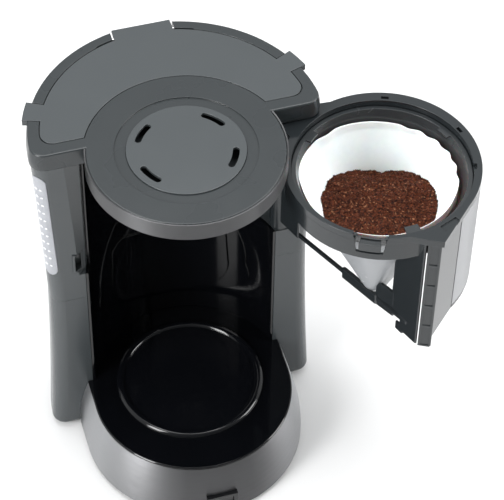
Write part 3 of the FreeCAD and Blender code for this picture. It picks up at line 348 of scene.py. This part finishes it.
def ground_coffee():
    """Reddish brown grounds, each grain its own shade, with pale flecks of chaff."""
    finish = Finish("coffee", IOR=1.45, Specular_IOR_Level=0.15)
    grains = finish.node("ShaderNodeSeparateColor")
    finish.feed(grains.inputs[0], finish.cells(900))
    shade = finish.mix(grains.outputs[0], (0.010, 0.0026, 0.0013), (0.095, 0.024, 0.009))
    fleck = finish.remap(grains.outputs[1], 0.0, 1.0, 0.93, 0.98)
    finish.colour(finish.mix(fleck, shade, (0.22, 0.10, 0.05)))
    finish.roughness(finish.remap(grains.outputs[2], 0.55, 0.85, 0.0, 1.0))
    finish.relief(finish.noise(1800, 3), 0.0002, 0.8)
    return finish.material


# ---- dressing the CAD nodes -----------------------------------------------------------
SATIN = (0.044, 0.050, 0.053)


def finishes():
    """Each material with the CAD nodes that wear it."""
    satin = moulded_black("satin_black", SATIN, 0.25, 0.00001, 0.7 * MM)
    frame_gloss = moulded_black("frame_black", (0.015, 0.018, 0.020), 0.14, 0.00001, 0.5 * MM)
    head = moulded_black("head_black", (0.019, 0.023, 0.025), 0.28, 0.00001, 0.7 * MM)
    piano = polished_black("gloss_black", (0.0016, 0.0018, 0.0024), 0.05)
    chrome = plain_metal("bright_steel", (0.72, 0.72, 0.73), 0.16)
    silicone = soft_polymer("silicone", (0.70, 0.70, 0.67), 0.45)
    rubber = soft_polymer("rubber_black", (0.022, 0.022, 0.023), 0.62)
    cream = soft_polymer("inner_plastic", (0.72, 0.71, 0.67), 0.42)
    aluminium = plain_metal("cast_aluminium", (0.62, 0.62, 0.63), 0.38, 500, 0.0001)
    facing_front = math.radians(-90)
    return {
        satin: ("lower_housing", "upper_housing", "vent_insert", "tank_lid", "latch_catch", "bottom_cover",
                "head_under_cover"),
        head: ("top_cover",),
        frame_gloss: ("filter_frame",),
        piano: ("bay_liner", "base_platform", "switch_bezel", "switch_rocker"),
        basket_plastic(WEDGE_TOP - 2 * MM): ("filter_basket",),
        # the last number given to the head and base steel sets the painted shade where they face the front;
        # the shell steel takes the default painted shade
        brushed_steel("head_steel", (0.0, 0.0), facing_front, 0.076, 0.11, 0.9): ("head_band",),
        brushed_steel("base_steel", BASE_AXIS, facing_front, 0.090, 0.40, 0.26): ("base_band",),
        brushed_steel("shell_steel", HOLDER, math.radians(31), 0.075): ("filter_shell",),
        clouded_window(): ("level_window",),
        enamel(): ("hot_plate",),
        rubber: ("rubber_feet", "cord_gland"),
        silicone: ("plate_gasket", "inlet_hose", "riser_hose", "drip_seal"),
        chrome: ("lid_hinge_pin", "housing_screws", "clamp_stud", "filter_hinge_pin", "hose_clamps",
                 "check_valve_ball", "heater_clamp", "drip_spring", "tank_strainer"),
        aluminium: ("heater_tube", "thermostat"),
        plain_metal("heater_sheath", (0.30, 0.28, 0.26), 0.45): ("heater_element",),
        cream: ("spray_head", "check_valve_body", "terminal_block", "drip_valve", "thermal_fuses"),
        soft_polymer("lead_insulation", (0.30, 0.05, 0.04), 0.5): ("wiring",),
    }


def dress_nodes():
    for material, names in finishes().items():
        for name in names:
            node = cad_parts[name]
            if not node.material_slots:
                node.data.materials.append(material)
            for material_slot in node.material_slots:
                material_slot.material = material


# ---- pieces made here -------------------------------------------------------------------
def new_piece(name, points, faces, material, smooth=True):
    mesh = bpy.data.meshes.new(name)
    mesh.from_pydata([tuple(p) for p in points], [], faces)
    mesh.update()
    mesh.materials.append(material)
    if smooth:
        mesh.shade_smooth()
    else:
        mesh.shade_flat()
    piece = bpy.data.objects.new(name, mesh)
    bpy.context.collection.objects.link(piece)
    return piece


def outline_point(share, level):
    """Point of the wedge's outline, a share of the way round, at its ridge (level 0) or rim (level 1)."""
    r = RIDGE_R + (RIM_R - RIDGE_R) * level
    shift = (RIDGE_HALF - RIDGE_R) * (1 - level)
    half_turn = math.radians(90 - 30 * level)
    part, f = divmod(4.0 * share, 1.0)
    across = 2 * f - 1
    if part in (0, 2):
        p = Vector((shift + r * math.cos(half_turn * across), r * math.sin(half_turn * across)))
    else:
        end = r * math.sin(half_turn)
        p = Vector((-(shift + r * math.cos(half_turn)) * across, end + (r - end) * (1 - across ** 2)))
    return p if part < 2 else -p


def wall_point(share, z, inset=0.0):
    """Point of the basket's wall, moved by an inset towards the holder's axis."""
    level = min(max((z - WEDGE_LOW) / (WEDGE_TOP - WEDGE_LOW), 0.0), 1.0)
    p = outline_point(share, 0.0).lerp(outline_point(share, 1.0), level)
    return HOLDER + RIDGE_TURN @ (p - p.normalized() * inset)


def bearing(p):
    """Plan direction of a point seen from the holder's axis."""
    return math.atan2(p.y - HOLDER.y, p.x - HOLDER.x)


def fold(turn, centre, width):
    """One soft pleat of the paper's rim: 1 at its crest, 0 outside its width."""
    off = abs((turn - centre + math.pi) % (2 * math.pi) - math.pi) / width
    return math.cos(off * math.pi / 2) ** 2 if off < 1 else 0.0


def make_paper(material):
    """Cone filter that flares towards one side, pleats on the other, and has a crimped seam."""
    rows = 64
    points, faces = [], []
    seam = math.radians(10)
    flare_side = math.radians(180)
    pleats = ((50, 9), (33, 8), (17, 8), (2, 7), (-13, 8), (118, 11))      # bearing and half width, degrees
    pleats = [(math.radians(at), math.radians(width)) for at, width in pleats]
    for row in range(rows + 1):
        f = row / rows
        for i in range(OUTLINE):
            turn = 2 * math.pi * i / OUTLINE
            rim = PAPER_TOP - (1.4 + 1.2 * math.sin(2 * turn + 0.7) + 0.6 * math.sin(5 * turn + 2.0)) * MM
            z = PAPER_LOW + (rim - PAPER_LOW) * f
            dent = noise.noise(Vector((2.6 * math.cos(turn), 2.6 * math.sin(turn), z * 50)))
            base = wall_point(i / OUTLINE, z)
            plan = bearing(base)
            crimp = 0.3 + 0.16 * math.sin(z / MM * 2 * math.pi / 2.4) if abs(turn - seam) < 0.05 else 0.0
            pleat = sum(1.7 * fold(plan, at, width) for at, width in pleats) * f ** 6
            flare = max(0.0, math.cos(plan - flare_side)) * 4.6 * max(0.0, (z - WEDGE_TOP) / (9 * MM))
            inset = PAPER_INSET + (0.4 + 0.5 * dent + crimp + pleat - flare) * MM
            p = base + (HOLDER - base).normalized() * inset
            points.append((p.x, p.y, z))
    add_rows(faces, OUTLINE, rows)
    faces.append(tuple(range(OUTLINE))[::-1])
    paper = new_piece("paper_cone", points, faces, material)
    skin = paper.modifiers.new("thickness", "SOLIDIFY")
    skin.thickness = 0.3 * MM
    skin.offset = -1
    return paper


def add_rows(faces, count, rows):
    """Faces between rows of points that close on themselves."""
    for row in range(rows):
        for i in range(count):
            j = (i + 1) % count
            a, b = row * count, (row + 1) * count
            faces.append((a + i, a + j, b + j, b + i))


def heap_height(x, y):
    """Height of the heap's surface over its edge, in metres, from plan offsets."""
    r = math.hypot(x, y) / HEAP_R
    dome = HEAP_RISE * max(0.0, 1 - r * r)
    lumps = 1.6 * noise.noise(Vector((x * 90, y * 90, 3.0)))
    lumps += 0.8 * noise.noise(Vector((x * 260, y * 260, 8.0)))
    return (dome + lumps) * MM


def coffee_edge():
    """Ragged line where the heap meets the paper: low on one side, climbing at the flanks."""
    edge = []
    for i in range(OUTLINE):
        turn = 2 * math.pi * i / OUTLINE
        off = bearing(wall_point(i / OUTLINE, COFFEE_TOP)) - LOW_SIDE
        climb = 6.0 * math.sin(off) ** 2 - 9.0 * max(0.0, math.cos(off)) ** 3
        rag = 1.8 * noise.noise(Vector((5 * math.cos(turn), 5 * math.sin(turn), 5)))
        rag += 1.0 * noise.noise(Vector((21 * math.cos(turn), 21 * math.sin(turn), 9)))
        z = COFFEE_TOP - EDGE_DROP + (climb + rag) * MM
        p = wall_point(i / OUTLINE, z, PAPER_INSET + 1.2 * MM)
        edge.append(Vector((p.x, p.y, z)))
    return edge


def heap_point(rim, f):
    """Point of the heap's surface, a fraction of the way from the holder's axis to the edge."""
    middle = Vector((HOLDER.x, HOLDER.y, COFFEE_TOP - EDGE_DROP))
    q = middle.lerp(rim, f)
    return q + Vector((0, 0, heap_height(q.x - HOLDER.x, q.y - HOLDER.y)))


def make_coffee(material):
    """Heap of grounds: a lumpy body with loose grains over its surface."""
    rows = 60
    edge = coffee_edge()
    faces = [tuple(range(OUTLINE))[::-1]]
    points = []
    for i in range(OUTLINE):
        p = wall_point(i / OUTLINE, COFFEE_LOW, PAPER_INSET + 1.8 * MM)
        points.append((p.x, p.y, COFFEE_LOW))
    for k in range(rows, 0, -1):
        points += [tuple(heap_point(rim, k / rows)) for rim in edge]
    points.append(tuple(heap_point(edge[0], 0.0)))
    add_rows(faces, OUTLINE, rows)
    last, tip = rows * OUTLINE, len(points) - 1
    faces += [(last + i, last + (i + 1) % OUTLINE, tip) for i in range(OUTLINE)]
    return new_piece("coffee_heap", points, faces, material), make_grains(edge, material)


GRAIN = ((1, 0, 0), (-1, 0, 0), (0, 1, 0), (0, -1, 0), (0, 0, 1), (0, 0, -1))
GRAIN_FACES = ((0, 2, 4), (2, 1, 4), (1, 3, 4), (3, 0, 4), (2, 0, 5), (1, 2, 5), (3, 1, 5), (0, 3, 5))


def make_grains(edge, material):
    """Loose angular grains over the heap, one in ten of them near its edge."""
    draw = random.Random(11)
    points, faces = [], []
    grains = 9000
    for _ in range(grains):
        f = draw.uniform(0.97, 1.01) if draw.random() < 0.1 else math.sqrt(draw.random())
        size = draw.uniform(0.25, 0.62) * MM
        spin = Matrix.Rotation(draw.uniform(0, 6.28), 3, "Z")
        turn = spin @ Matrix.Rotation(draw.uniform(0, 3.14), 3, "X")
        stretch = Vector((draw.uniform(0.6, 1.3), draw.uniform(0.6, 1.1), draw.uniform(0.6, 1.0)))
        start = len(points)
        centre = heap_point(edge[draw.randrange(OUTLINE)], f)
        centre.z += size * draw.uniform(-0.1, 0.7)
        for corner in GRAIN:
            points.append(centre + turn @ (Vector(corner) * stretch) * size)
        faces += [tuple(start + k for k in face) for face in GRAIN_FACES]
    return new_piece("coffee_grains", points, faces, material, smooth=False)


def make_gauge_marks(material):
    """Two columns of raised level marks down the water gauge."""
    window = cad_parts["level_window"]
    corners = [v.co for v in window.data.vertices]
    tree = BVHTree.FromPolygons(corners, [tuple(p.vertices) for p in window.data.polygons])
    low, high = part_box("level_window")
    facing = math.radians(218)
    out = Vector((math.cos(facing), math.sin(facing), 0))
    aside = Vector((-out.y, out.x, 0))
    middle = centre_of("level_window")
    points, faces = [], []
    rows = 11
    away = 80 * MM
    for k in range(rows):
        z = low[2] + (high[2] - low[2]) * (0.10 + 0.78 * k / (rows - 1))
        hits = []
        for j in range(-80, 81):
            start = Vector((middle.x, middle.y, z)) + aside * (0.25 * MM * j) + out * away
            spot, normal, _, _ = tree.ray_cast(start, -out, 2 * away)
            if spot is not None and normal.dot(out) > 0.3:
                hits.append((spot, normal))
        if len(hits) < 12:
            continue
        for share, half in ((0.32, 1.5 * MM), (0.66, 1.1 * MM)):
            spot, normal = hits[int(len(hits) * share)]
            along = normal.cross(Vector((0, 0, 1))).normalized()
            up = along.cross(normal).normalized()
            add_bar(points, faces, spot, along, up, normal, half, 0.75 * MM, 0.4 * MM)
    return new_piece("gauge_marks", points, faces, material)


def add_bar(points, faces, spot, along, up, normal, half, thick, tall):
    """Bar with round ends and a crowned top, standing on a surface."""
    count = 16
    start = len(points)
    for level, shrink in ((-0.3, 1.0), (0.6, 1.0), (1.0, 0.6)):
        for i in range(count):
            a = 2 * math.pi * i / count
            shift = (half - thick) * (1 if math.cos(a) > 0 else -1)
            p = along * (shift + thick * shrink * math.cos(a)) + up * (thick * shrink * math.sin(a))
            points.append(spot + p + normal * (tall * level))
    for level in range(2):
        for i in range(count):
            j = (i + 1) % count
            a, b = start + level * count, start + (level + 1) * count
            faces.append((a + i, a + j, b + j, b + i))
    faces.append(tuple(range(start, start + count))[::-1])
    faces.append(tuple(range(start + 2 * count, start + 3 * count)))


def place_pieces():
    paper = make_paper(filter_paper())
    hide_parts("paper_filter")
    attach(paper, "filter_holder")
    heap, grains = make_coffee(ground_coffee())
    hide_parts("coffee_grounds")
    for piece in (heap, grains):
        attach(piece, "filter_holder")
    marks = make_gauge_marks(soft_polymer("gauge_white", (0.85, 0.86, 0.87), 0.35))
    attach(marks, "machine_body")


set_camera()
set_studio()
dress_nodes()
place_pieces()
